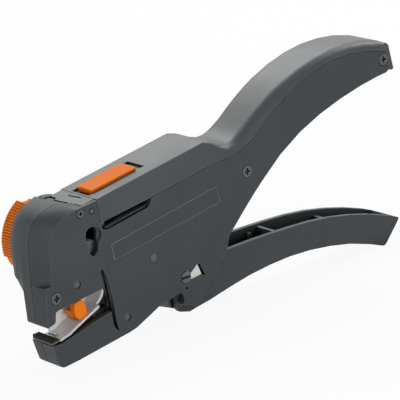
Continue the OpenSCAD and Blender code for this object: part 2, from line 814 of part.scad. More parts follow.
// Shoulder screw on which the lever turns, with a slotted head
slot_wall = 1;
slot_angle = 9;
module pivot_screw() {
    place = at(pivot_share);
    color("#8f9294") difference() {
        union() {
            cross(pivot_share, pivot_head_d, near_face - head_stand,
                near_face + head_seat - shaft_gap);
            cross(pivot_share, pivot_neck_d, near_face, far_face - shaft_gap);
            cross(pivot_share, pivot_d, near_inner + shaft_gap,
                far_inner - shaft_gap);
        }
        translate([place.x, near_face - head_stand, place.y])
            rotate([0, slot_angle, 0])
            cube([2 * pivot_head_d, 2 * drive_depth, slot_wall],
                center = true);
    }
}
module pivot_nut() {
    color("#8f9294") difference() {
        cross(pivot_share, nut_d, far_face - nut_wall + shaft_gap,
            far_face + head_stand);
        cross(pivot_share, pivot_neck_d + 2 * shaft_gap,
            far_face - nut_wall - over, far_face + over);
    }
}
module pivot_bush() {
    color("#b08d45") difference() {
        cross(pivot_share, pivot_d + 2 * bush_wall, -bush_half, bush_half);
        cross(pivot_share, pivot_d + 2 * shaft_gap, -bush_half - over,
            bush_half + over);
    }
}
bush_half = far_inner - running_gap;

// Tube that keeps the side plates apart at the middle screw
tube_wall = 1.4;
module spacer_tube() {
    color("#9a9d9f") difference() {
        cross(case_screw_shares[1], case_shank_d + 2 * tube_wall,
            near_inner + shaft_gap, far_inner - shaft_gap);
        cross(case_screw_shares[1], case_shank_d + 2 * shaft_gap,
            near_inner - over, far_inner + over);
    }
}

// Wire cutter: fixed blade in the near plate, held by the pivot screw
blade_wall = 1.8;
cutter_port_shares = [
    [0.38, -0.0385], [0.3575, -0.0505], [0.3545, -0.0655],
    [0.386, -0.0665], [0.3935, -0.0705], [0.386, -0.043],
];
blade_shares = [
    [0.38, -0.0345], [0.3457, -0.038], [0.331, -0.0529],
    [0.3457, -0.0665], [0.352, -0.0695], [0.3865, -0.068],
];
module cutter_blade() {
    color("#c9cbcc") difference() {
        plate(blade_shares, near_inner - blade_wall, near_inner);
        cross(pivot_share, pivot_neck_d + 2 * shaft_gap,
            near_inner - blade_wall - over, near_inner + over);
        cross(pivot_share, pivot_head_d + 2 * seat_ring,
            near_inner - blade_wall - over, near_face + head_seat);
    }
}

// Lever: a channel that opens upwards, with ribs, a hub and a drive arm
lever_shares = [
    [0.3176, -0.1], [0.318, -0.117], [0.3224, -0.1238], [0.3467, -0.1348],
    [0.3662, -0.1345], [0.4019, -0.135], [0.4586, -0.1326],
    [0.5152, -0.1318], [0.5719, -0.1352], [0.6281, -0.1419],
    [0.6843, -0.1534], [0.74, -0.1695], [0.7962, -0.19], [0.851, -0.2165],
    [0.884, -0.2351], [0.8895, -0.2376], [0.895, -0.2372],
    [0.9, -0.2343], [0.9405, -0.2022], [0.9442, -0.1985],
    [0.9454, -0.196], [0.9448, -0.194], [0.9162, -0.1771],
    [0.8662, -0.1519],
    [0.8105, -0.1281], [0.7548, -0.1085], [0.699, -0.0932],
    [0.6433, -0.0814], [0.5876, -0.071], [0.5329, -0.0619],
    [0.4729, -0.0533], [0.445, -0.0475], [0.41, -0.032], [0.38, -0.018],
    [0.3457, -0.0125], [0.325, -0.02], [0.311, -0.035], [0.3085, -0.055],
    [0.3135, -0.078],
];
channel_shares = [
    [0.3, -0.14], [0.362, -0.14], [0.362, -0.124], [0.4019, -0.1245],
    [0.4586, -0.122], [0.5152, -0.1213], [0.5719, -0.1247],
    [0.6281, -0.1314], [0.6843, -0.143], [0.74, -0.159],
    [0.7962, -0.1795], [0.851, -0.206], [0.8885, -0.2265],
    [0.895, -0.224], [0.934, -0.1935], [0.95, -0.17], [0.8662, -0.12],
    [0.6433, -0.04], [0.44, 0.02], [0.3, 0.02],
];
drive_arm_shares = [
    [0.3225, -0.04], [0.334, 0.023], [0.339, 0.0325], [0.356, 0.0325],
    [0.361, 0.023], [0.3705, -0.04], [0.386, -0.13], [0.366, -0.13],
    [0.334, -0.062],
];
rib_shares = [[0.613, 0.005], [0.768, 0.013]];
boss_share = [0.585, -0.088];
boss_d = 3;
boss_length = 2.5;
hub_d = 12.4;
module lever() {
    half = lever_width / 2;
    inner = half - lever_wall;
    color("#54575a") difference() {
        union() {
            difference() {
                plate(lever_shares, -half, half);
                plate(channel_shares, -inner, inner);
            }
            intersection() {
                plate(lever_shares, -half + lever_wall / 2,
                    half - lever_wall / 2);
                lever_ribs(inner);
            }
            cross(pivot_share, hub_d, -half, half);
            plate(drive_arm_shares, arm_near, arm_far);
        }
        cross(pivot_share, pivot_d + 2 * bush_wall + 2 * shaft_gap,
            -half - over, half + over);
        cross(drive_pin_share, link_pin_d + 2 * shaft_gap, -half,
            half);
        cross(nose_pin_share, link_pin_d + 2 * shaft_gap, -half - over,
            half + over);
        plate(lever_blade_shares, -half - over, -inner + over);
        hub_groove(ratchet_near - shaft_gap,
            ratchet_near + ratchet_wall + shaft_gap);
        hub_groove(rod_near - running_gap, rod_far + running_gap);
    }
}
// Groove round the hub that leaves the lever's floor whole
module hub_groove(from, to) {
    difference() {
        cross(pivot_share, groove_d, from, to);
        plate(hub_keep_shares, from - over, to + over);
    }
}
groove_d = 2 * hub_d;
hub_keep_shares = [
    [0.28, -0.09], [0.42, -0.09], [0.42, -0.16], [0.28, -0.16],
];
module lever_ribs(inner) {
    span = inner + lever_wall / 2;
    for (rib = rib_shares)
        translate([rib.x * tool_length, -span, -tool_length / 4])
            cube([rib_wall, 2 * span, tool_length / 4
                - (rib_rim(rib.x) + rib.y) * tool_length]);
    cross(boss_share, boss_d, inner - boss_length, span);
}
// Height of the lever's rim below the jaws' level, at a share of the length
function rib_rim(x) = lookup(x, [[0.44, 0.047], [0.5329, 0.0619],
    [0.6433, 0.0814], [0.7548, 0.1085], [0.8662, 0.1519]]);

// Steel blade in the lever's near wall that shears against the fixed blade
lever_blade_shares = [
    [0.372, -0.062], [0.398, -0.057], [0.408, -0.078], [0.388, -0.092],
    [0.374, -0.086],
];
module lever_blade() {
    half = lever_width / 2;
    color("#c9cbcc") slab(-half - running_gap / 2, -half + lever_wall)
        offset(delta = -shaft_gap) polygon(placed(lever_blade_shares));
}

module drive_pin() {
    color("#9a9d9f") cross(drive_pin_share, link_pin_d,
        rod_near - running_gap, arm_far);
}
module nose_pin() {
    color("#9a9d9f") cross(nose_pin_share, link_pin_d,
        -lever_width / 2, lever_width / 2);
}

// Ratchet on the lever's far side that keeps a crimp going until it is done
ratchet_wall = 2.2;
ratchet_in = 20.5;
ratchet_out = 25;
tooth_rise = 1.1;
ratchet_teeth = 10;
tooth_lean_share = 0.85;
web_sink = 1;
ratchet_from_angle = 38;
ratchet_to_angle = 78;
module ratchet_sector() {
    place = at(pivot_share);
    step = (ratchet_to_angle - ratchet_from_angle) / ratchet_teeth;
    function tip(i, r) = let (a = ratchet_from_angle + step * i)
        [place.x + r * cos(a), place.y + r * sin(a)];
    color("#8a8d8f") difference() {
        union() {
            slab(ratchet_near, ratchet_near + ratchet_wall) polygon(concat(
                [for (i = [0:ratchet_teeth - 1])
                    each [tip(i, ratchet_out),
                        tip(i + tooth_lean_share, ratchet_out + tooth_rise)]],
                [tip(ratchet_teeth, ratchet_out)],
                [for (i = [ratchet_teeth:-1:0]) tip(i, ratchet_in)]));
            slab(ratchet_near, ratchet_near + ratchet_wall) polygon([
                tip(0, ratchet_in + web_sink),
                tip(-1, hub_d / 2 - web_sink),
                tip(ratchet_teeth + 2, hub_d / 2 - web_sink),
                tip(ratchet_teeth, ratchet_in + web_sink),
                tip(ratchet_teeth / 2, ratchet_in + 2 * web_sink)]);
            cross(pivot_share, hub_d, ratchet_near,
                ratchet_near + ratchet_wall);
        }
        cross(pivot_share, pivot_d + 2 * bush_wall + 2 * shaft_gap,
            ratchet_near - over, ratchet_near + ratchet_wall + over);
    }
}
pawl_shares = [
    [0.373, 0.0985], [0.3785, 0.09], [0.3868, 0.0672], [0.3905, 0.0735],
    [0.3925, 0.0895], [0.4015, 0.0985], [0.4, 0.112], [0.395, 0.1185],
    [0.38, 0.1185], [0.376, 0.112],
];
module ratchet_pawl() {
    color("#8a8d8f") difference() {
        plate(pawl_shares, ratchet_near, ratchet_near + ratchet_wall);
        cross(pawl_pin_share, pin_d + 2 * shaft_gap, ratchet_near - over,
            ratchet_near + ratchet_wall + over);
    }
}
module pawl_pin() {
    color("#9a9d9f") cross(pawl_pin_share, pin_d,
        ratchet_near - running_gap, far_inner);
}
pawl_spring_shares = [
    [0.378, 0.1185], [0.398, 0.1185], [0.43, 0.1262], [0.43, 0.1287],
    [0.397, 0.121], [0.378, 0.121],
];
module pawl_spring() {
    color("#b8bcbe") plate(pawl_spring_shares, ratchet_near,
        ratchet_near + ratchet_wall);
}

// Rod that the lever pushes forwards to close the upper jaw
rod_shares = [
    [0.1548, 0.0219], [0.238, 0.0219], [0.2475, 0.0029], [0.327, 0.0029],
    [0.327, -0.009], [0.3715, -0.009], [0.3715, 0.0419],
    [0.2145, 0.0419],
    [0.2095, 0.0478], [0.1962, 0.0478], [0.1643, 0.0416],
    [0.1548, 0.0385],
];
rod_stroke_share = 0.0378;
yoke_drop_share = 0.0092;
module clamp_rod() {
    wide = link_pin_d + 2 * running_gap;
    color("#9fa2a4") difference() {
        plate(rod_shares, rod_near, rod_far);
        strap(guide_pin_share,
            guide_pin_share + [rod_stroke_share, 0],
            pin_d + 2 * running_gap, rod_near - over, rod_far + over);
        strap(drive_pin_share - [0, yoke_drop_share], drive_pin_share,
            wide, rod_near - over, rod_far + over);
        cross(rod_pin_share, rod_pin_d + 2 * shaft_gap, rod_near - over,
            rod_far + over);
    }
}
rod_pin_d = 1.6;
module rod_pin() {
    color("#9a9d9f") cross(rod_pin_share, rod_pin_d, jaw_layer, rod_far);
}

// Upper jaw: foot behind the tooth, hub on the upper pin and a tail
upper_jaw_shares = [
    [0.0167, 0.0035], [0.0257, 0.0035], [0.0257, 0.0162],
    [0.069, 0.0286], [0.105, 0.041], [0.112, 0.0425], [0.112, 0.0645],
    [0.105, 0.0657], [0.0762, 0.0657], [0.069, 0.0438],
    [0.0371, 0.0293], [0.0167, 0.0245],
];
tail_shares = [
    [0.1, 0.041], [0.161, 0.0443], [0.163, 0.0486], [0.1595, 0.0552],
    [0.1, 0.0657],
];
module upper_jaw() {
    color("#8c8f92") difference() {
        union() {
            plate(upper_jaw_shares, jaw_layer, rod_far);
            plate(tail_shares, rod_near, rod_far);
        }
        cross(upper_pin_share, pin_d + 2 * shaft_gap, jaw_layer - over,
            rod_far + over);
    }
}
upper_pad_shares = [
    [0.0167, -0.001], [0.0257, -0.001], [0.0257, 0.0035],
    [0.0167, 0.0035],
];
module upper_pad() {
    color("#2b2c2d") plate(upper_pad_shares, jaw_layer, rod_far);
}

// Lower jaw: arm on the lower pin, with an upright that carries the pad
lower_jaw_shares = [
    [0.0138, -0.0381], [0.002, -0.0381], [0.002, -0.0352],
    [0.021, -0.0352], [0.021, -0.0638], [0.055, -0.0628],
    [0.172, -0.0535], [0.1871, -0.0485], [0.199, -0.053],
    [0.2045, -0.0657], [0.2, -0.0765], [0.1871, -0.081],
    [0.172, -0.081], [0.04, -0.081], [0.0235, -0.077],
    [0.0185, -0.07], [0.0138, -0.05],
];
module lower_jaw() {
    color("#8c8f92") difference() {
        union() {
            plate(lower_jaw_shares, jaw_layer, lower_arm_far);
            plate(upright_shares, jaw_layer, beam_far);
            plate(carrier_shares, near_face + carrier_inset,
                jaw_far - carrier_inset);
        }
        cross(lower_pin_share, pin_d + 2 * shaft_gap, jaw_layer - over,
            lower_arm_far + over);
    }
}
arm_gap = 1.45;
lower_arm_far = beam_near - arm_gap;
carrier_inset = 0.3;
upright_shares = [
    [0.0165, -0.0638], [0.021, -0.0638], [0.021, -0.0352],
    [0.0138, -0.0352], [0.0138, -0.048],
];
carrier_shares = [
    [0.0015, -0.0381], [0.021, -0.0381], [0.021, -0.0348],
    [0.0015, -0.0348],
];

// Ribbed rubber pad on the lower jaw
pad_shares = [
    [0.0015, -0.0348], [0.021, -0.0348], [0.0195, -0.0325],
    [0.0025, -0.03],
];
pad_rib_shares = [[0.0045, -0.0303], [0.0105, -0.0312], [0.0165, -0.0321]];
module lower_pad() {
    from = near_face + carrier_inset;
    to = jaw_far - carrier_inset;
    color("#232425") {
        plate(pad_shares, from, to);
        for (share = pad_rib_shares) cross(share, 2 * pad_rib, from, to);
    }
}

// Carriage that pulls the knives, the tray and the stop to the rear
carriage_shares = [
    [0.0324, 0.019], [0.176, 0.019], [0.176, -0.0447], [0.025, -0.0447],
    [0.025, -0.0567], [0.214, -0.0567], [0.2365, -0.047],
    [0.2365, -0.0295], [0.224, -0.0215], [0.2, -0.0215], [0.2, 0.0305],
    [0.0324, 0.0305],
];
module knife_carriage() {
    color("#a3a6a8") difference() {
        plate(carriage_shares, beam_near, beam_far);
        cross(carriage_pin_share, link_pin_d + 2 * shaft_gap,
            beam_near - over, beam_far + over);
    }
}
module carriage_pin() {
    color("#9a9d9f") cross(carriage_pin_share, link_pin_d, rod_near,
        beam_far);
}

// Link from the lever's nose to the carriage
link_width = 6.4;
link_slope = atan2(nose_pin_share.y - carriage_pin_share.y,
    nose_pin_share.x - carriage_pin_share.x);
// Points round one end of the link, which faces the given way
link_end_step = 20;
function link_end(place, facing) = [for (a = [-90:link_end_step:90])
    place + link_width / 2 * [cos(link_slope + facing + a),
        sin(link_slope + facing + a)]];
link_play = 0.65;
module pull_link() {
    color("#3a3c3e") difference() {
        slab(rod_near, rod_far) polygon(concat(
            link_end(at(carriage_pin_share), 180),
            link_end(at(nose_pin_share), 0)));
        cross(carriage_pin_share, link_pin_d + 2 * link_play,
            rod_near - over, rod_far + over);
        cross(nose_pin_share, link_pin_d + 2 * shaft_gap,
            rod_near - over, rod_far + over);
    }
}

// Translucent tray in the mouth, with a slot for the lower knife
tray_shares = [
    [0.0229, -0.0405], [0.05, -0.0385], [0.0565, -0.036], [0.082, -0.029],
    [0.1309, -0.0163], [0.147, -0.006], [0.1525, 0.003], [0.153, 0.0095],
    [0.148, 0.0095], [0.1475, 0.005], [0.1425, -0.002],
    [0.129, -0.0113], [0.054, -0.0311], [0.048, -0.0335],
    [0.0229, -0.0355],
];
tray_side_shares = [
    [0.034, -0.0385], [0.052, -0.0365], [0.082, -0.0275],
    [0.1309, -0.015], [0.1465, -0.0045], [0.1515, 0.0035],
    [0.1515, 0.0135], [0.034, 0.016],
];
tray_lip_shares = [
    [0.0229, -0.0405], [0.05, -0.0385], [0.0565, -0.036], [0.082, -0.029],
    [0.1285, -0.0169], [0.1285, -0.0114], [0.054, -0.0311],
    [0.048, -0.0335], [0.0229, -0.0355],
];
tray_foot_shares = [
    [0.036, -0.0447], [0.11, -0.0447], [0.11, -0.0205], [0.082, -0.0275],
    [0.055, -0.035], [0.036, -0.037],
];
lip_inset = 0.6;
lip_overlap = 0.4;
knife_share = 0.0276;
module tray() {
    slot_x = knife_share * tool_length - running_gap;
    color("#d8d4d2", 0.6) difference() {
        union() {
            plate(tray_shares, tray_near, beam_far);
            plate(tray_side_shares, beam_far - tray_wall, beam_far);
            plate(tray_lip_shares, near_face + lip_inset,
                tray_near + lip_overlap);
            plate(tray_foot_shares, beam_far - 1.5 * tray_wall,
                beam_far - tray_wall / 2);
        }
        translate([slot_x, tray_near + tray_wall, -tool_length / 2])
            cube([knife_wall + 2 * running_gap,
                beam_far - tray_near - 2 * tray_wall, tool_length / 2]);
    }
}
tray_near = near_inner + running_gap;

// Bottom and top of the lower knife, then of the upper knife and its stem
lower_knife_share = [-0.0447, -0.031];
upper_knife_share = [-0.001, 0.0143];
knife_stem_share = 0.0295;

module lower_knife() {
    bottom = lower_knife_share[0] * tool_length;
    top = lower_knife_share[1] * tool_length;
    color("#c9cbcc") translate([knife_share * tool_length,
            tray_near + tray_wall + running_gap, bottom])
        cube([knife_wall, beam_far - tray_near - 2 * tray_wall
            - 2 * running_gap, top - bottom]);
}

// Upper knife, which drops on the carriage
module upper_knife() {
    x = knife_share * tool_length;
    bottom = upper_knife_share[0] * tool_length;
    top = upper_knife_share[1] * tool_length;
    color("#c9cbcc") {
        translate([x, jaw_layer + running_gap, bottom])
            cube([knife_wall, beam_far - jaw_layer - running_gap,
                top - bottom]);
        translate([x, beam_near, bottom])
            cube([knife_wall, beam_far - beam_near,
                knife_stem_share * tool_length - bottom]);
    }
}

// Length stop, which slides along the floor of the tray
stop_shares = [
    [0.0755, 0.0165], [0.0715, -0.005], [0.0738, -0.0141],
    [0.0805, -0.0238], [0.097, -0.0195], [0.1004, -0.012],
    [0.0995, 0.0095], [0.0925, 0.0165],
];
stop_arm_shares = [
    [0.0695, -0.0015], [0.0695, -0.0085], [0.0765, -0.0225],
    [0.0815, -0.0215], [0.0815, 0.001],
];
stop_inset = 1.15;
stop_width = 3.1;
stop_arm_width = 3.5;
stop_overlap = 0.5;
module length_stop() {
    near = near_face + stop_inset;
    arm_near = near + stop_width - stop_overlap;
    color("#ee7b30") {
        plate(stop_shares, near, near + stop_width);
        plate(stop_arm_shares, arm_near, arm_near + stop_arm_width);
    }
}

// Moving half of the crimping station, hung on the crimp pin
crimp_layer_far = rod_near - running_gap;
crimp_arm_shares = [
    [0.166, 0.1853], [0.153, 0.1853], [0.1495, 0.1815],
    [0.149, 0.172], [0.173, 0.14],
    [0.1822, 0.1225], [0.1822, 0.098], [0.178, 0.055],
    [0.1795, 0.0165], [0.2015, 0.0165], [0.1985, 0.07],
    [0.199, 0.105], [0.19, 0.14], [0.1715, 0.18],
];
crimp_slot_share = 0.004;
module crimp_arm() {
    toward = (crimp_pin_share - rod_pin_share)
        / norm(crimp_pin_share - rod_pin_share) * crimp_slot_share;
    color("#6a6d70") difference() {
        plate(crimp_arm_shares, jaw_layer, crimp_layer_far);
        cross(crimp_pin_share, crimp_pin_d + 2 * shaft_gap,
            jaw_layer - over, crimp_layer_far + over);
        strap(rod_pin_share - toward, rod_pin_share + toward,
            rod_pin_d + 2 * running_gap, jaw_layer - over,
            crimp_layer_far + over);
    }
}

// Return spring that stands between the lever's floor and a post above it
spring_top_share = [0.43, -0.0505];
spring_rings = 8;
spring_sides = 6;
spring_count = spring_rings * spring_turns;
function spring_point(i) = let (a = 360 * i / spring_rings)
    [spring_radius * cos(a), spring_radius * sin(a),
        -spring_wire_d / 2 - shaft_gap
        - (spring_length - spring_wire_d) * i / spring_count];
function unit(v) = v / norm(v);
function spring_ring(i) = let (
        p = spring_point(i),
        along = unit(spring_point(i + 0.5) - spring_point(i - 0.5)),
        out = unit([p.x, p.y, 0]),
        side = cross(along, out))
    [for (k = [0:spring_sides - 1]) let (b = 360 * k / spring_sides)
        p + spring_wire_d / 2 * (out * cos(b) + side * sin(b))];
spring_gap = min([for (i = [0:spring_count - spring_rings])
    norm(spring_point(i + spring_rings) - spring_point(i))])
    - spring_wire_d;
echo(str("Least gap between the spring's turns: ", spring_gap));
module return_spring() {
    place = at(spring_top_share);
    color("#b8bcbe") translate([place.x, 0, place.y]) rotate([0, pitch, 0])
        loft([for (i = [0:spring_count]) spring_ring(i)]);
}

// Post that holds the top of the return spring, on a bar across the body
post_shares = [
    [0.418, -0.05], [0.442, -0.05], [0.442, 0.058], [0.418, 0.058],
];
post_bar_shares = [
    [0.416, 0.053], [0.444, 0.053], [0.444, 0.067], [0.416, 0.067],
];
post_half = 2.6;
module spring_post() {
    color("#6e7173") {
        plate(post_shares, -post_half, post_half);
        plate(post_bar_shares, near_inner + shaft_gap,
            far_inner - shaft_gap);
    }
}

// Selector on the far side: disc, ribbed thumb sector and shaft
selector_near = far_face + running_gap;
sector_from_angle = 111;
sector_to_angle = 186;
shoulder_from_angle = 96;
shoulder_to_angle = 204;
shoulder_reach_shares = [
    [96, 0.867], [102, 0.87], [111, 0.93], [186, 0.975], [195, 0.974],
    [204, 0.938],
];
function shoulder_radius(a) =
    sector_radius * lookup(a, shoulder_reach_shares);
shoulder_depth_share = 0.8;
disc_depth_share = 0.55;
disc_depth = selector_width * disc_depth_share;
rim_overlap = 2;
rim_step = 15;
shoulder_step = 6;
rib_step_shares = [0.3, 0.7];
module selector() {
    place = at(selector_share);
    step = (sector_to_angle - sector_from_angle) / sector_ribs;
    inner = disc_radius - rim_overlap;
    function rim(a, r) = [r * cos(a), r * sin(a)];
    color("#ef7f2e") translate([place.x, 0, place.y]) {
        slab(selector_near, selector_near + selector_width) polygon(concat(
            [for (i = [0:sector_ribs - 1])
                each [rim(sector_from_angle + step * i, sector_radius - rib_in),
                    rim(sector_from_angle + step * (i + rib_step_shares[0]),
                        sector_radius),
                    rim(sector_from_angle + step * (i + rib_step_shares[1]),
                        sector_radius)]],
            [rim(sector_to_angle, sector_radius - rib_in)],
            [for (a = [sector_to_angle:-rim_step:sector_from_angle])
                rim(a, inner)]));
        slab(selector_near,
                selector_near + selector_width * shoulder_depth_share)
            polygon(concat(
                [for (a = [shoulder_from_angle:shoulder_step:shoulder_to_angle])
                    rim(a, shoulder_radius(a))],
                [for (a = [shoulder_to_angle:-shoulder_step:shoulder_from_angle])
                    rim(a, inner)]));
        translate([0, selector_near + disc_depth, 0])
            rotate([90, 0, 0])
            cylinder(r = disc_radius, h = disc_depth);
        translate([0, selector_near + over, 0]) rotate([90, 0, 0])
            cylinder(d = selector_shaft_d,
                h = selector_near + over - far_inner + shaft_gap);
    }
}
rib_in = 0.35;
cap_d = 9;
cap_wall = 1.2;
module selector_cap() {
    place = at(selector_share);
    color("#3a3c3e") translate([place.x,
            selector_near + disc_depth + cap_wall, place.y])
        rotate([90, 0, 0]) cylinder(d = cap_d, h = cap_wall);
}
drum_radius = 13.4;
drum_wall = 1.6;
module magazine_drum() {
    place = at(selector_share);
    near = jaw_far + running_gap;
    far = far_inner - running_gap;
    color("#55585a") translate([place.x, 0, place.y]) difference() {
        union() {
            translate([0, far, 0]) rotate([90, 0, 0])
                cylinder(r = drum_radius, h = far - near);
            translate([0, far_inner - shaft_gap, 0]) rotate([90, 0, 0])
                cylinder(d = selector_shaft_d,
                    h = far_inner - shaft_gap - near);
        }
        translate([0, far - drum_wall, 0]) rotate([90, 0, 0])
            difference() {
                cylinder(r = drum_radius - drum_wall, h = far - near);
                translate([0, 0, -over]) cylinder(d = cap_d,
                    h = far - near + 2 * over);
            }
    }
}

stand() near_shell();
stand() jaw_frame();
stand() handle_liner();
stand() far_shell();
stand() selector_guard();
stand() spine_cover();
stand() label_plate();
stand() crimp_anvil();
stand() ferrule_track();
stand() jaw_pin_upper();
stand() jaw_pin_lower();
stand() guide_pin();
stand() crimp_pin();
stand() case_screws();
stand() small_screw();
stand() pivot_screw();
stand() pivot_nut();
stand() pivot_bush();
stand() spacer_tube();
stand() cutter_blade();
stand() spring_post();
stand() return_spring();
stand() pawl_pin();
stand() lever();
stand() drive_pin();
stand() nose_pin();
stand() lever_blade();
stand() ratchet_sector();
stand() ratchet_pawl();
stand() pawl_spring();
stand() clamp_rod();
stand() rod_pin();
stand() upper_jaw();
stand() upper_pad();
stand() lower_jaw();
stand() lower_pad();
stand() knife_carriage();
stand() carriage_pin();
stand() pull_link();
stand() lower_knife();
stand() tray();
stand() length_stop();
stand() upper_knife();
stand() crimp_arm();
stand() selector();
stand() selector_cap();
stand() magazine_drum();
stand() top_slider();
stand() slider_clip();
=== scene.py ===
"""Looks of the wire stripper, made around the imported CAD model."""
import json
import math

import bmesh
import bpy
from mathutils import Matrix, Vector


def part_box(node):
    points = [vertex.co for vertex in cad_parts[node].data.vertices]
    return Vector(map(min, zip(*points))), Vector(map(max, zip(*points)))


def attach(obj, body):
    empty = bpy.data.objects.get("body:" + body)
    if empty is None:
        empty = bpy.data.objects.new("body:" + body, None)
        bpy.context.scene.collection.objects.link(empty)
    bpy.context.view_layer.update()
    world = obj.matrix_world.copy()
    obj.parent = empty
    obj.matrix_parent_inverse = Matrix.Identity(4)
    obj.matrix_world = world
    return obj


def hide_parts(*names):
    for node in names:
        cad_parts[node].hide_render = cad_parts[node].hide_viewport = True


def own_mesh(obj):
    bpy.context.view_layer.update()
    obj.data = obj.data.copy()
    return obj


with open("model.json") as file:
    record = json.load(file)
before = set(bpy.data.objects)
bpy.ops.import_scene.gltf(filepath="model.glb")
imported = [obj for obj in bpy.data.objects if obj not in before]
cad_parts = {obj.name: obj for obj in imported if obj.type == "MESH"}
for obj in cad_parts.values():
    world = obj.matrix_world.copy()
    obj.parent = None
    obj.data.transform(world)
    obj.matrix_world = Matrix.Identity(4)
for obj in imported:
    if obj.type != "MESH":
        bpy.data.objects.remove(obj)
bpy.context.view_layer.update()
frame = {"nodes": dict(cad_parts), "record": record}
nodes = frame["nodes"]

# The tool's own frame, as in the CAD source: u towards the handles, v up,
# w across the tool. The row frame has its origin under the box's middle.
# These sizes are in metres.

MM = 0.001
LENGTH = 0.210
PITCH = math.radians(9.417586)
MIDDLE_SHARE = 0.4805
MIDDLE_ACROSS = 0.003425
LOWEST_POINT = -0.0186585


def spot(u, v, w):
    """Row-frame point of a place in the tool's frame, in millimetres."""
    x = u * MM * math.cos(PITCH) - v * MM * math.sin(PITCH)
    z = u * MM * math.sin(PITCH) + v * MM * math.cos(PITCH)
    return Vector((x - MIDDLE_SHARE * LENGTH, w * MM - MIDDLE_ACROSS,
                   z - LOWEST_POINT))


def tool_place(point):
    """Place in the tool's frame, in millimetres, of a row-frame point."""
    x = (point.x + MIDDLE_SHARE * LENGTH) / MM
    z = (point.z + LOWEST_POINT) / MM
    return Vector((x * math.cos(PITCH) + z * math.sin(PITCH),
                   z * math.cos(PITCH) - x * math.sin(PITCH),
                   (point.y + MIDDLE_ACROSS) / MM))


def tool_box(node):
    """Lowest and highest corner of a node in the tool's frame, in
    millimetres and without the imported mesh's rounding errors."""
    places = [tool_place(vert.co) for vert in nodes[node].data.vertices]
    sides = list(zip(*places))
    low = Vector([round(min(side), 3) for side in sides])
    high = Vector([round(max(side), 3) for side in sides])
    return low, high


# Camera at the photograph's viewing angle: its lens and sensor are in
# millimetres, its distances in metres

CAMERA_LENS = 216
CAMERA_SENSOR = 36
CAMERA_AZIMUTH = math.radians(-130.02805)
CAMERA_ELEVATION = math.radians(17.64518)
CAMERA_ROLL = math.radians(-4.09074)
CAMERA_DISTANCE = 1.018927
CAMERA_AIM = Vector((-0.004357, 0, 0.0444))
CAMERA_NEAR = 0.05
CAMERA_FAR = 20


def aim_camera():
    data = bpy.data.cameras.new("photo_camera")
    data.lens = CAMERA_LENS
    data.sensor_width = CAMERA_SENSOR
    data.clip_start = CAMERA_NEAR
    data.clip_end = CAMERA_FAR
    camera = bpy.data.objects.new("photo_camera", data)
    bpy.context.scene.collection.objects.link(camera)
    flat = math.cos(CAMERA_ELEVATION)
    back = Vector((flat * math.cos(CAMERA_AZIMUTH),
                   flat * math.sin(CAMERA_AZIMUTH),
                   math.sin(CAMERA_ELEVATION)))
    level = Vector((-math.sin(CAMERA_AZIMUTH), math.cos(CAMERA_AZIMUTH), 0))
    rise = back.cross(level)
    right = level * math.cos(CAMERA_ROLL) + rise * math.sin(CAMERA_ROLL)
    up = back.cross(right)
    turn = Matrix((right, up, back)).transposed().to_4x4()
    place = CAMERA_AIM + back * CAMERA_DISTANCE
    camera.matrix_world = Matrix.Translation(place) @ turn
    bpy.context.scene.camera = camera


# Node tree of a material

# A Mix node keeps its colour sockets after those for numbers and vectors
MIX_FIRST = 6
MIX_SECOND = 7
MIX_RESULT = 2
NODE_SAMPLES = 6


def srgb(r, g, b):
    """Linear colour of an sRGB one given in 0 to 255."""
    def linear(c):
        c /= 255
        return c / 12.92 if c <= 0.04045 else ((c + 0.055) / 1.055) ** 2.4
    return (linear(r), linear(g), linear(b), 1.0)


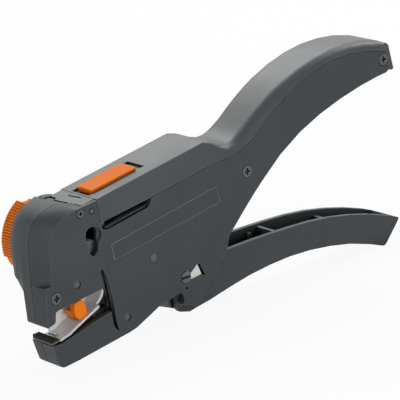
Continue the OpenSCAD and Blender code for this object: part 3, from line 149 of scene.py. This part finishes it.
class Finish:
    """A material under construction: a Principled shader and its inputs."""

    def __init__(self, name, colour, roughness, metallic=0.0):
        self.material = bpy.data.materials.new(name)
        self.material.use_nodes = True
        self.tree = self.material.node_tree
        self.shader = self.tree.nodes["Principled BSDF"]
        self.colour = colour
        self.roughness = roughness
        self.set_shader("Metallic", metallic)
        self.set_shader("Base Color", colour)
        self.set_shader("Roughness", roughness)
        self.place = self.node("ShaderNodeTexCoord").outputs["Object"]
        self.normal = None

    def set_shader(self, socket, value):
        self.shader.inputs[socket].default_value = value

    def node(self, kind, **settings):
        made = self.tree.nodes.new(kind)
        for key, value in settings.items():
            setattr(made, key, value)
        return made

    def link(self, out, into):
        self.tree.links.new(out, into)

    def stretched(self, stretch):
        """Object coordinates, stretched to draw a texture out."""
        mapping = self.node("ShaderNodeMapping")
        mapping.inputs["Scale"].default_value = stretch
        self.link(self.place, mapping.inputs["Vector"])
        return mapping.outputs["Vector"]

    def noise(self, scale, detail=2.0, rough=0.5, stretch=None):
        made = self.node("ShaderNodeTexNoise")
        made.inputs["Scale"].default_value = scale
        made.inputs["Detail"].default_value = detail
        made.inputs["Roughness"].default_value = rough
        source = self.stretched(stretch) if stretch else self.place
        self.link(source, made.inputs["Vector"])
        return made.outputs["Fac"]

    def cells(self, scale):
        made = self.node("ShaderNodeTexVoronoi", feature="F1")
        made.inputs["Scale"].default_value = scale
        self.link(self.place, made.inputs["Vector"])
        return made.outputs["Distance"]

    def spread(self, value, low, high, from_low=0.3, from_high=0.7):
        """Maps a value's range to another; noise mostly fills 0.3 to 0.7."""
        made = self.node("ShaderNodeMapRange")
        made.inputs["From Min"].default_value = from_low
        made.inputs["From Max"].default_value = from_high
        made.inputs["To Min"].default_value = low
        made.inputs["To Max"].default_value = high
        self.link(value, made.inputs["Value"])
        return made.outputs["Result"]

    def bump(self, height, strength, distance):
        """Adds a bump on top of the ones that the material has."""
        made = self.node("ShaderNodeBump")
        made.inputs["Strength"].default_value = strength
        made.inputs["Distance"].default_value = distance
        self.link(height, made.inputs["Height"])
        if self.normal is not None:
            self.link(self.normal, made.inputs["Normal"])
        self.normal = made.outputs["Normal"]
        self.link(self.normal, self.shader.inputs["Normal"])

    def vary_roughness(self, value, by):
        out = self.spread(value, self.roughness - by, self.roughness + by)
        self.link(out, self.shader.inputs["Roughness"])

    def tint(self, factor, other):
        """Mixes another colour in where factor is high."""
        mix = self.node("ShaderNodeMix", data_type="RGBA")
        self.link(factor, mix.inputs["Factor"])
        source = self.shader.inputs["Base Color"]
        if source.is_linked:
            self.link(source.links[0].from_socket, mix.inputs[MIX_FIRST])
        else:
            mix.inputs[MIX_FIRST].default_value = self.colour
        mix.inputs[MIX_SECOND].default_value = other
        self.link(mix.outputs[MIX_RESULT], source)

    def paint_crevice_shade(self, reach, other, amount):
        """Paints shade into seams and corners, where ambient occlusion finds
        surfaces close by.
        """
        near = self.node("ShaderNodeAmbientOcclusion", samples=NODE_SAMPLES)
        near.inputs["Distance"].default_value = reach
        closed_in = self.spread(near.outputs["AO"], amount, 0.0,
                                from_low=0.4, from_high=0.93)
        self.tint(closed_in, other)

    def paint_edge_highlight(self, radius, other, amount):
        """Paints a highlight along the edges, broken into patches by noise."""
        bevel = self.node("ShaderNodeBevel", samples=NODE_SAMPLES)
        bevel.inputs["Radius"].default_value = radius
        geometry = self.node("ShaderNodeNewGeometry")
        dot = self.node("ShaderNodeVectorMath", operation="DOT_PRODUCT")
        self.link(bevel.outputs["Normal"], dot.inputs[0])
        self.link(geometry.outputs["Normal"], dot.inputs[1])
        edge = self.spread(dot.outputs["Value"], amount, 0.0,
                           from_low=0.86, from_high=0.992)
        patchy = self.noise(scale=220, detail=4, rough=0.6)
        edge_highlight = self.node("ShaderNodeMath", operation="MULTIPLY")
        self.link(edge, edge_highlight.inputs[0])
        self.link(self.spread(patchy, 0.35, 1.0), edge_highlight.inputs[1])
        self.tint(edge_highlight.outputs["Value"], other)


# Families of material

CHARCOAL = srgb(46, 51, 54)
CHARCOAL_MOTTLE = srgb(90, 96, 99)
# Colour of the painted edge highlight
EDGE_HIGHLIGHT_GREY = srgb(132, 139, 143)
# Colour of the painted shade in seams and corners
CREVICE_SHADE_DARK = srgb(7, 8, 9)
# Colour of the painted shade in steel crevices
STEEL_CREVICE_SHADE = srgb(10, 10, 11)
MILKY_CLOUD = srgb(214, 208, 206)

# Lengths of the finishes in metres
PLASTIC_GRAIN_DEPTH = 0.00012
ORANGE_GRAIN_DEPTH = 0.00006
LABEL_GRAIN_DEPTH = 0.00003
LINE_GRAIN_DEPTH = 0.00002
# Radius of the painted edge highlight on plastics
PLASTIC_HIGHLIGHT_RADIUS = 0.00045
# Reaches of the painted shade in seams and corners, and far into the lever's
# channel
CREVICE_REACH = 0.0022
CHANNEL_REACH = 0.007
METAL_LINE_DEPTH = 0.00003
# Radius of the painted edge highlight on metal
METAL_HIGHLIGHT_RADIUS = 0.0002
# Reach of the painted shade in steel crevices
STEEL_CREVICE_REACH = 0.0015
CLEAR_GRAIN_DEPTH = 0.00004
RUBBER_GRAIN_DEPTH = 0.00005


def moulded_plastic(name, colour, light, grain=1500,
                    depth=PLASTIC_GRAIN_DEPTH, roughness=0.5, edge=0.5,
                    level=0.3, edge_highlight=EDGE_HIGHLIGHT_GREY, crevice_shade=CREVICE_SHADE_DARK,
                    reach=CREVICE_REACH):
    """Glass-filled nylon with the fine spark-eroded grain of its mould."""
    mottle = 0.16
    finish = Finish(name, colour, roughness)
    finish.set_shader("Specular IOR Level", level)
    coarse = finish.noise(scale=grain, detail=3, rough=0.6)
    fine = finish.cells(scale=grain * 1.7)
    finish.bump(coarse, strength=0.6, distance=depth)
    finish.bump(fine, strength=0.35, distance=depth / 2)
    cloud = finish.noise(scale=38, detail=5, rough=0.55)
    finish.tint(finish.spread(cloud, 0.0, mottle), light)
    finish.tint(finish.spread(coarse, 0.0, mottle), light)
    finish.vary_roughness(cloud, by=0.07)
    # Painted highlight along the edges
    finish.paint_edge_highlight(PLASTIC_HIGHLIGHT_RADIUS, edge_highlight, edge)
    # Painted shade in seams and corners
    finish.paint_crevice_shade(reach, crevice_shade, amount=0.92)
    return finish.material


def brushed_metal(name, colour, dark, roughness=0.3, stretch=(1, 14, 1),
                  reach=0.0):
    """Metal with the fine lines of grinding or turning."""
    finish = Finish(name, colour, roughness, metallic=1.0)
    lines = finish.noise(scale=500, detail=3, rough=0.6, stretch=stretch)
    finish.bump(lines, strength=0.15, distance=METAL_LINE_DEPTH)
    stain = finish.noise(scale=130, detail=4, rough=0.6)
    finish.tint(finish.spread(stain, 0.0, 0.5), dark)
    finish.vary_roughness(lines, by=0.1)
    # Painted highlight along the edges
    finish.paint_edge_highlight(METAL_HIGHLIGHT_RADIUS, colour, amount=0.6)
    # Painted shade in the crevices, where a reach is given
    if reach:
        finish.paint_crevice_shade(reach, STEEL_CREVICE_SHADE, amount=0.95)
    return finish.material


def clear_plastic(name, colour):
    """Milky polycarbonate that lets some light through."""
    finish = Finish(name, colour, roughness=0.35)
    finish.set_shader("Transmission Weight", 0.25)
    finish.set_shader("IOR", 1.5)
    cloud = finish.noise(scale=160, detail=4, rough=0.55)
    finish.tint(finish.spread(cloud, 0.0, 0.3), MILKY_CLOUD)
    finish.vary_roughness(cloud, by=0.08)
    grain = finish.noise(scale=1400)
    finish.bump(grain, strength=0.2, distance=CLEAR_GRAIN_DEPTH)
    return finish.material


def soft_rubber(name, colour, light):
    """Matt black rubber with a fine grain."""
    finish = Finish(name, colour, roughness=0.72)
    finish.set_shader("Specular IOR Level", 0.15)
    grain = finish.noise(scale=2400, detail=3, rough=0.6)
    finish.bump(grain, strength=0.5, distance=RUBBER_GRAIN_DEPTH)
    cloud = finish.noise(scale=90, detail=4)
    finish.tint(finish.spread(cloud, 0.0, 0.4), light)
    finish.vary_roughness(grain, by=0.08)
    return finish.material


# One finish for each material slot of the record, and one for the pale
# line round the label

# Every finish but the clear plastic and the rubber has a painted edge
# highlight; the plastics and the dark steel also have painted shade in their
# crevices
finishes = {
    "dark_plastic": moulded_plastic(
        "dark_plastic_finish", CHARCOAL, CHARCOAL_MOTTLE),
    "cover_plastic": moulded_plastic(
        "cover_plastic_finish", srgb(42, 47, 50), srgb(88, 94, 97),
        roughness=0.42, level=0.5),
    "orange_plastic": moulded_plastic(
        "orange_plastic_finish", srgb(246, 122, 10), srgb(252, 146, 44),
        grain=1200, depth=ORANGE_GRAIN_DEPTH, roughness=0.55, edge=0.35,
        level=0.12, edge_highlight=srgb(255, 170, 92), crevice_shade=srgb(120, 34, 6)),
    "clear_plastic": clear_plastic(
        "clear_plastic_finish", srgb(238, 236, 234)),
    "label": moulded_plastic(
        "label_finish", srgb(48, 53, 56), srgb(80, 85, 88),
        grain=2600, depth=LABEL_GRAIN_DEPTH, roughness=0.4, edge=0.15),
    "label_line": moulded_plastic(
        "label_line_finish", srgb(116, 121, 124), srgb(142, 147, 150),
        grain=2600, depth=LINE_GRAIN_DEPTH, edge=0.1,
        crevice_shade=srgb(80, 84, 87)),
    "steel": brushed_metal(
        "steel_finish", srgb(168, 170, 172), srgb(120, 122, 124)),
    "dark_steel": brushed_metal(
        "dark_steel_finish", srgb(100, 103, 105), srgb(64, 67, 69),
        roughness=0.42, reach=STEEL_CREVICE_REACH),
    "blade_steel": brushed_metal(
        "blade_steel_finish", srgb(206, 204, 201), srgb(170, 168, 166),
        roughness=0.26, stretch=(14, 1, 1)),
    "bronze": brushed_metal(
        "bronze_finish", srgb(176, 141, 69), srgb(120, 92, 44)),
    "rubber": soft_rubber("rubber_finish", srgb(20, 21, 22), srgb(44, 45, 46)),
}


def paint(thing, material):
    for place in thing.material_slots:
        place.material = material


slot_of = {row["node"]: row["material_slot"]
           for row in frame["record"]["subparts"]}
for name, thing in nodes.items():
    paint(thing, finishes[slot_of[name]])

# The lever has the casing's plastic, with painted shade reaching far into its
# channel
paint(nodes["lever"], moulded_plastic(
    "channel_shade_plastic_finish", CHARCOAL, CHARCOAL_MOTTLE, reach=CHANNEL_REACH))


# Rounded edges

WELD_GAP = 0.000004
FLAT_ANGLE = math.radians(0.6)
SHARP_ANGLE = math.radians(32)

# Edge widths in millimetres
SMALL_EDGE = 0.15
PAD_EDGE = 0.08
edge_widths = {
    "near_shell": 0.4, "jaw_frame": 0.4, "handle_liner": 0.4,
    "far_shell": 0.45, "selector_guard": 0.35, "spine_cover": 0.3,
    "label_plate": 0.1, "lever": 0.45, "top_slider": 0.2,
    "length_stop": 0.4, "tray": 0.25, "selector": 0.35,
    "selector_cap": 0.3, "lower_jaw": 0.25,
}


def smooth(data):
    data.polygons.foreach_set("use_smooth", [True] * len(data.polygons))


def soften(thing, width):
    """Welds a piece's mesh in modifiers and rounds its sharp edges."""
    smooth(thing.data)
    weld = thing.modifiers.new("weld", "WELD")
    weld.merge_threshold = WELD_GAP
    flat = thing.modifiers.new("flat", "DECIMATE")
    flat.decimate_type = "DISSOLVE"
    flat.angle_limit = FLAT_ANGLE
    bevel = thing.modifiers.new("bevel", "BEVEL")
    bevel.width = width * MM
    bevel.segments = 2
    bevel.limit_method = "ANGLE"
    bevel.angle_limit = SHARP_ANGLE
    bevel.use_clamp_overlap = True
    bevel.miter_outer = "MITER_ARC"
    shade = thing.modifiers.new("shade", "WEIGHTED_NORMAL")
    shade.mode = "FACE_AREA"
    shade.weight = 60
    shade.keep_sharp = False


for name, thing in nodes.items():
    soften(thing, edge_widths.get(name, SMALL_EDGE))


# Meshes made from rings of points

def new_ring(mesh, points):
    return [mesh.verts.new(point) for point in points]


def bridge(mesh, rings):
    """Faces between each ring and the next one."""
    count = len(rings[0])
    for a, b in zip(rings, rings[1:]):
        for k in range(count):
            after = (k + 1) % count
            mesh.faces.new((a[k], a[after], b[after], b[k]))


def close_ends(mesh, rings):
    mesh.faces.new(list(reversed(rings[0])))
    mesh.faces.new(rings[-1])


def new_object(name, mesh):
    """Turns a finished mesh into an object of the scene."""
    data = bpy.data.meshes.new(name)
    mesh.to_mesh(data)
    mesh.free()
    thing = bpy.data.objects.new(name, data)
    bpy.context.scene.collection.objects.link(thing)
    return thing


def new_piece(name, mesh, finish):
    """A piece of the tool in its finish, with its faces turned outwards."""
    bmesh.ops.recalc_face_normals(mesh, faces=mesh.faces)
    piece = new_object(name, mesh)
    piece.data.materials.append(finishes[finish])
    return piece


# Pale line round the edge of the label plate: its outline is in shares of
# the tool's length, and the line's own sizes are in millimetres

label_shares = [
    (0.1845, 0.0955), (0.465, 0.0967), (0.4685, 0.0935), (0.4695, 0.0615),
    (0.466, 0.0578), (0.184, 0.0571),
]
LINE_OUTER_INSET = 0.35
LINE_INNER_INSET = 0.57
LINE_OUTER_CORNER = 0.8
LINE_INNER_CORNER = 0.65
LINE_DEPTH = 0.06
LINE_PROUD = 0.02
CORNER_CUTS = 3
LONGEST_CORNER_SHARE = 0.4


def inset_outline(corners, by):
    """Corners of a flat outline, each side moved in by a distance."""
    moved = []
    count = len(corners)
    for i, here in enumerate(corners):
        before = corners[i - 1]
        after = corners[(i + 1) % count]
        side_in = (here - before).normalized()
        side_out = (after - here).normalized()
        first = Vector((side_in.y, -side_in.x))
        second = Vector((side_out.y, -side_out.x))
        inward = (first + second) / (1 + first.dot(second))
        moved.append(here + inward * by)
    return moved


def rounded_corners(corners, radius):
    """The outline with a short curve of a few points at each corner."""
    points = []
    count = len(corners)
    for i, here in enumerate(corners):
        before = corners[i - 1]
        after = corners[(i + 1) % count]
        reach = min(radius, (here - before).length * LONGEST_CORNER_SHARE,
                    (after - here).length * LONGEST_CORNER_SHARE)
        start = here + (before - here).normalized() * reach
        end = here + (after - here).normalized() * reach
        for k in range(CORNER_CUTS + 1):
            t = k / CORNER_CUTS
            points.append(start * (1 - t) ** 2 + here * 2 * t * (1 - t)
                          + end * t ** 2)
    return points


def label_frame():
    near_face = tool_box("near_shell")[0].z
    sunk = near_face + LINE_DEPTH
    proud = near_face - LINE_PROUD
    corners = [Vector(share) * LENGTH / MM for share in label_shares]
    outer = rounded_corners(
        inset_outline(corners, LINE_OUTER_INSET), LINE_OUTER_CORNER)
    inner = rounded_corners(
        inset_outline(corners, LINE_INNER_INSET), LINE_INNER_CORNER)
    mesh = bmesh.new()
    rings = [
        new_ring(mesh, [spot(c.x, c.y, w) for c in outline])
        for outline, w in ((outer, sunk), (outer, near_face),
                           (outer, proud), (inner, proud), (inner, sunk))]
    bridge(mesh, rings + rings[:1])
    piece = new_piece("label_frame", mesh, "label_line")
    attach(piece, "body")


label_frame()


# Clamp pads: moulded rubber with soft ridges across the jaw, in millimetres

RIDGE_STEPS = 48
PAD_EASE = 0.3
PAD_MIDDLE_SCALE = 1.0
# How far in from the pad's end, as a share of the ease, and the scale there
end_scale_shares = [(0, 0.9), (0.3, 0.965), (1, PAD_MIDDLE_SCALE)]


def ridge_lift(along, ribs, rib_half):
    """Share of a rib's rise at a place along the pad's top."""
    return max((math.cos(math.pi * (along - rib) / rib_half) + 1) / 2
               if abs(along - rib) < rib_half else 0 for rib in ribs)


def pad_section(foot, top, ribs, rib_rise, rib_half):
    """Outline with a straight foot and rounded ridges along the top."""
    start, end = top
    along = (end - start).normalized()
    out = Vector((-along.y, along.x))
    if out.dot(foot[0] - start) > 0:
        out = -out
    run = (end - start).length
    section = []
    for i in range(RIDGE_STEPS + 1):
        s = run * i / RIDGE_STEPS
        lift = ridge_lift(s, ribs, rib_half)
        section.append(start + along * s + out * lift * rib_rise)
    return section + [foot[1], foot[0]]


def rubber_pad(name, node, body, up, heights, insets, **ridges):
    """Lofts a pad in a node's place across the jaw. heights and insets are
    those of the top at the front and rear; up is -1 for a hanging pad."""
    low, high = tool_box(node)
    foot_v = low.y if up > 0 else high.y
    foot = [Vector((low.x, foot_v)), Vector((high.x, foot_v))]
    top = [Vector((low.x + insets[0], foot_v + up * heights[0])),
           Vector((high.x - insets[1], foot_v + up * heights[1]))]
    section = pad_section(foot, top, **ridges)
    middle = sum(section, Vector((0, 0))) / len(section)
    stations = [(low.z + PAD_EASE * share, scale)
                for share, scale in end_scale_shares]
    stations.append(((low.z + high.z) / 2, PAD_MIDDLE_SCALE))
    stations += [(high.z - PAD_EASE * share, scale)
                 for share, scale in reversed(end_scale_shares)]
    mesh = bmesh.new()
    rings = []
    for w, scale in stations:
        places = [middle + (c - middle) * scale for c in section]
        rings.append(new_ring(mesh, [spot(p.x, p.y, w) for p in places]))
    bridge(mesh, rings)
    close_ends(mesh, rings)
    piece = new_piece(name, mesh, "rubber")
    soften(piece, PAD_EDGE)
    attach(piece, body)
    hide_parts(node)


rubber_pad("lower_clamp_pad", "lower_pad", "lower_jaw", up=1,
           heights=(0.978, 0.483), insets=(0.205, 0.31),
           ribs=[0.45, 1.7, 2.95], rib_rise=0.48, rib_half=0.5)
rubber_pad("upper_clamp_pad", "upper_pad", "upper_jaw", up=-1,
           heights=(0.585, 0.585), insets=(0, 0),
           ribs=[0.4, 0.95, 1.5], rib_rise=0.33, rib_half=0.27)


# Return spring: a smooth coil in the CAD coil's place, in metres

WIRE_RADIUS = 0.00045
WIRE_SIDES = 12
COIL_TURNS = 7.5
TURN_STEPS = 24
# How far the turns are drawn towards the ends, as a share of the length
END_CLOSING_SHARE = 0.054


def tube(points, radius, sides):
    """A closed round wire along points, as one mesh."""
    mesh = bmesh.new()
    rings = []
    out = None
    angles = [2 * math.pi * k / sides for k in range(sides)]
    for i, point in enumerate(points):
        ahead = points[min(i + 1, len(points) - 1)]
        behind = points[max(i - 1, 0)]
        along = (ahead - behind).normalized()
        if out is None:
            out = along.orthogonal().normalized()
        out = (out - along * out.dot(along)).normalized()
        side = along.cross(out)
        rings.append(new_ring(mesh, [
            point + radius * (out * math.cos(a) + side * math.sin(a))
            for a in angles]))
    bridge(mesh, rings)
    close_ends(mesh, rings)
    return mesh


def return_spring():
    low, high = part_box("return_spring")
    middle = (low + high) / 2
    radius = (high.x - low.x) / 2 - WIRE_RADIUS
    top = high.z - WIRE_RADIUS
    fall = high.z - low.z - 2 * WIRE_RADIUS
    count = int(COIL_TURNS * TURN_STEPS)
    points = []
    for i in range(count + 1):
        t = i / count
        eased = t - END_CLOSING_SHARE * math.sin(2 * math.pi * t)
        angle = 2 * math.pi * COIL_TURNS * t
        points.append(Vector((middle.x + radius * math.cos(angle),
                              middle.y + radius * math.sin(angle),
                              top - fall * eased)))
    mesh = tube(points, WIRE_RADIUS, WIRE_SIDES)
    piece = new_piece("return_spring_coil", mesh, "steel")
    smooth(piece.data)
    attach(piece, "body")
    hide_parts("return_spring")
    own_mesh(piece)


return_spring()


# Floor and background

WHITE = (1, 1, 1, 1)
FLOOR_GREY = srgb(240, 240, 240)
FLOOR_REACH = 3.0
FLOOR_DROP = 0.0002
FLOOR_GLOW = 0.92
AMBIENT = 0.02
VIEW_RAYS = ["Is Camera Ray", "Is Glossy Ray", "Is Transmission Ray"]


def view_ray_mask(tree):
    """1 for the kinds of ray that see the pale background, otherwise 0."""
    path = tree.nodes.new("ShaderNodeLightPath")
    total = path.outputs[VIEW_RAYS[0]]
    for kind in VIEW_RAYS[1:]:
        either = tree.nodes.new("ShaderNodeMath")
        either.operation = "MAXIMUM"
        tree.links.new(total, either.inputs[0])
        tree.links.new(path.outputs[kind], either.inputs[1])
        total = either.outputs["Value"]
    return total


def floor_paint():
    """Matt paint that keeps the shadow and glows for the view rays."""
    material = bpy.data.materials.new("floor_paint")
    material.use_nodes = True
    tree = material.node_tree
    tree.nodes.clear()
    matt = tree.nodes.new("ShaderNodeBsdfDiffuse")
    matt.inputs["Color"].default_value = FLOOR_GREY
    glow = tree.nodes.new("ShaderNodeEmission")
    glow.inputs["Color"].default_value = WHITE
    part = tree.nodes.new("ShaderNodeMath")
    part.operation = "MULTIPLY"
    part.inputs[1].default_value = FLOOR_GLOW
    tree.links.new(view_ray_mask(tree), part.inputs[0])
    mix = tree.nodes.new("ShaderNodeMixShader")
    tree.links.new(part.outputs["Value"], mix.inputs["Fac"])
    tree.links.new(matt.outputs["BSDF"], mix.inputs[1])
    tree.links.new(glow.outputs["Emission"], mix.inputs[2])
    out = tree.nodes.new("ShaderNodeOutputMaterial")
    tree.links.new(mix.outputs["Shader"], out.inputs["Surface"])
    return material


def lay_floor():
    mesh = bmesh.new()
    bmesh.ops.create_grid(mesh, x_segments=1, y_segments=1, size=FLOOR_REACH)
    floor = new_object("floor", mesh)
    floor.location.z = -FLOOR_DROP
    floor.data.materials.append(floor_paint())


def set_world():
    world = bpy.data.worlds.new("studio")
    bpy.context.scene.world = world
    world.use_nodes = True
    tree = world.node_tree
    background = tree.nodes["Background"]
    background.inputs["Color"].default_value = WHITE
    strength = tree.nodes.new("ShaderNodeMapRange")
    strength.inputs["To Min"].default_value = AMBIENT
    strength.inputs["To Max"].default_value = 1.0
    tree.links.new(view_ray_mask(tree), strength.inputs["Value"])
    tree.links.new(strength.outputs["Result"], background.inputs["Strength"])


# Studio lamps: name, place, aim and size in metres, and power in watts

lamps = [
    ("overhead", (0.35, 0.6, 0.85), (0, 0, 0.04), (0.9, 0.7), 8),
    ("top_right", (0.75, -0.1, 0.65), (0, 0, 0.04), (0.5, 0.4), 3.8),
    ("left", (-1.0, 0.45, 0.35), (-0.05, 0, 0.04), (0.5, 0.4), 2.9),
    ("low", (-0.12, -0.4, 0.08), (-0.02, 0, 0.02), (0.25, 0.15), 0.75),
    ("key", (-0.9, -0.66, 0.36), (0, 0, 0.04), (0.06, 0.12), 1.3),
]


def area_lamp(name, place, target, size, power):
    data = bpy.data.lights.new(name, "AREA")
    data.shape = "RECTANGLE"
    data.size, data.size_y = size
    data.energy = power
    lamp = bpy.data.objects.new(name, data)
    bpy.context.scene.collection.objects.link(lamp)
    lamp.location = place
    aim = Vector(target) - Vector(place)
    lamp.rotation_euler = aim.to_track_quat("-Z", "Y").to_euler()
    lamp.visible_camera = False


aim_camera()
lay_floor()
set_world()
for lamp in lamps:
    area_lamp(*lamp)

bpy.context.scene.view_settings.view_transform = "Standard"
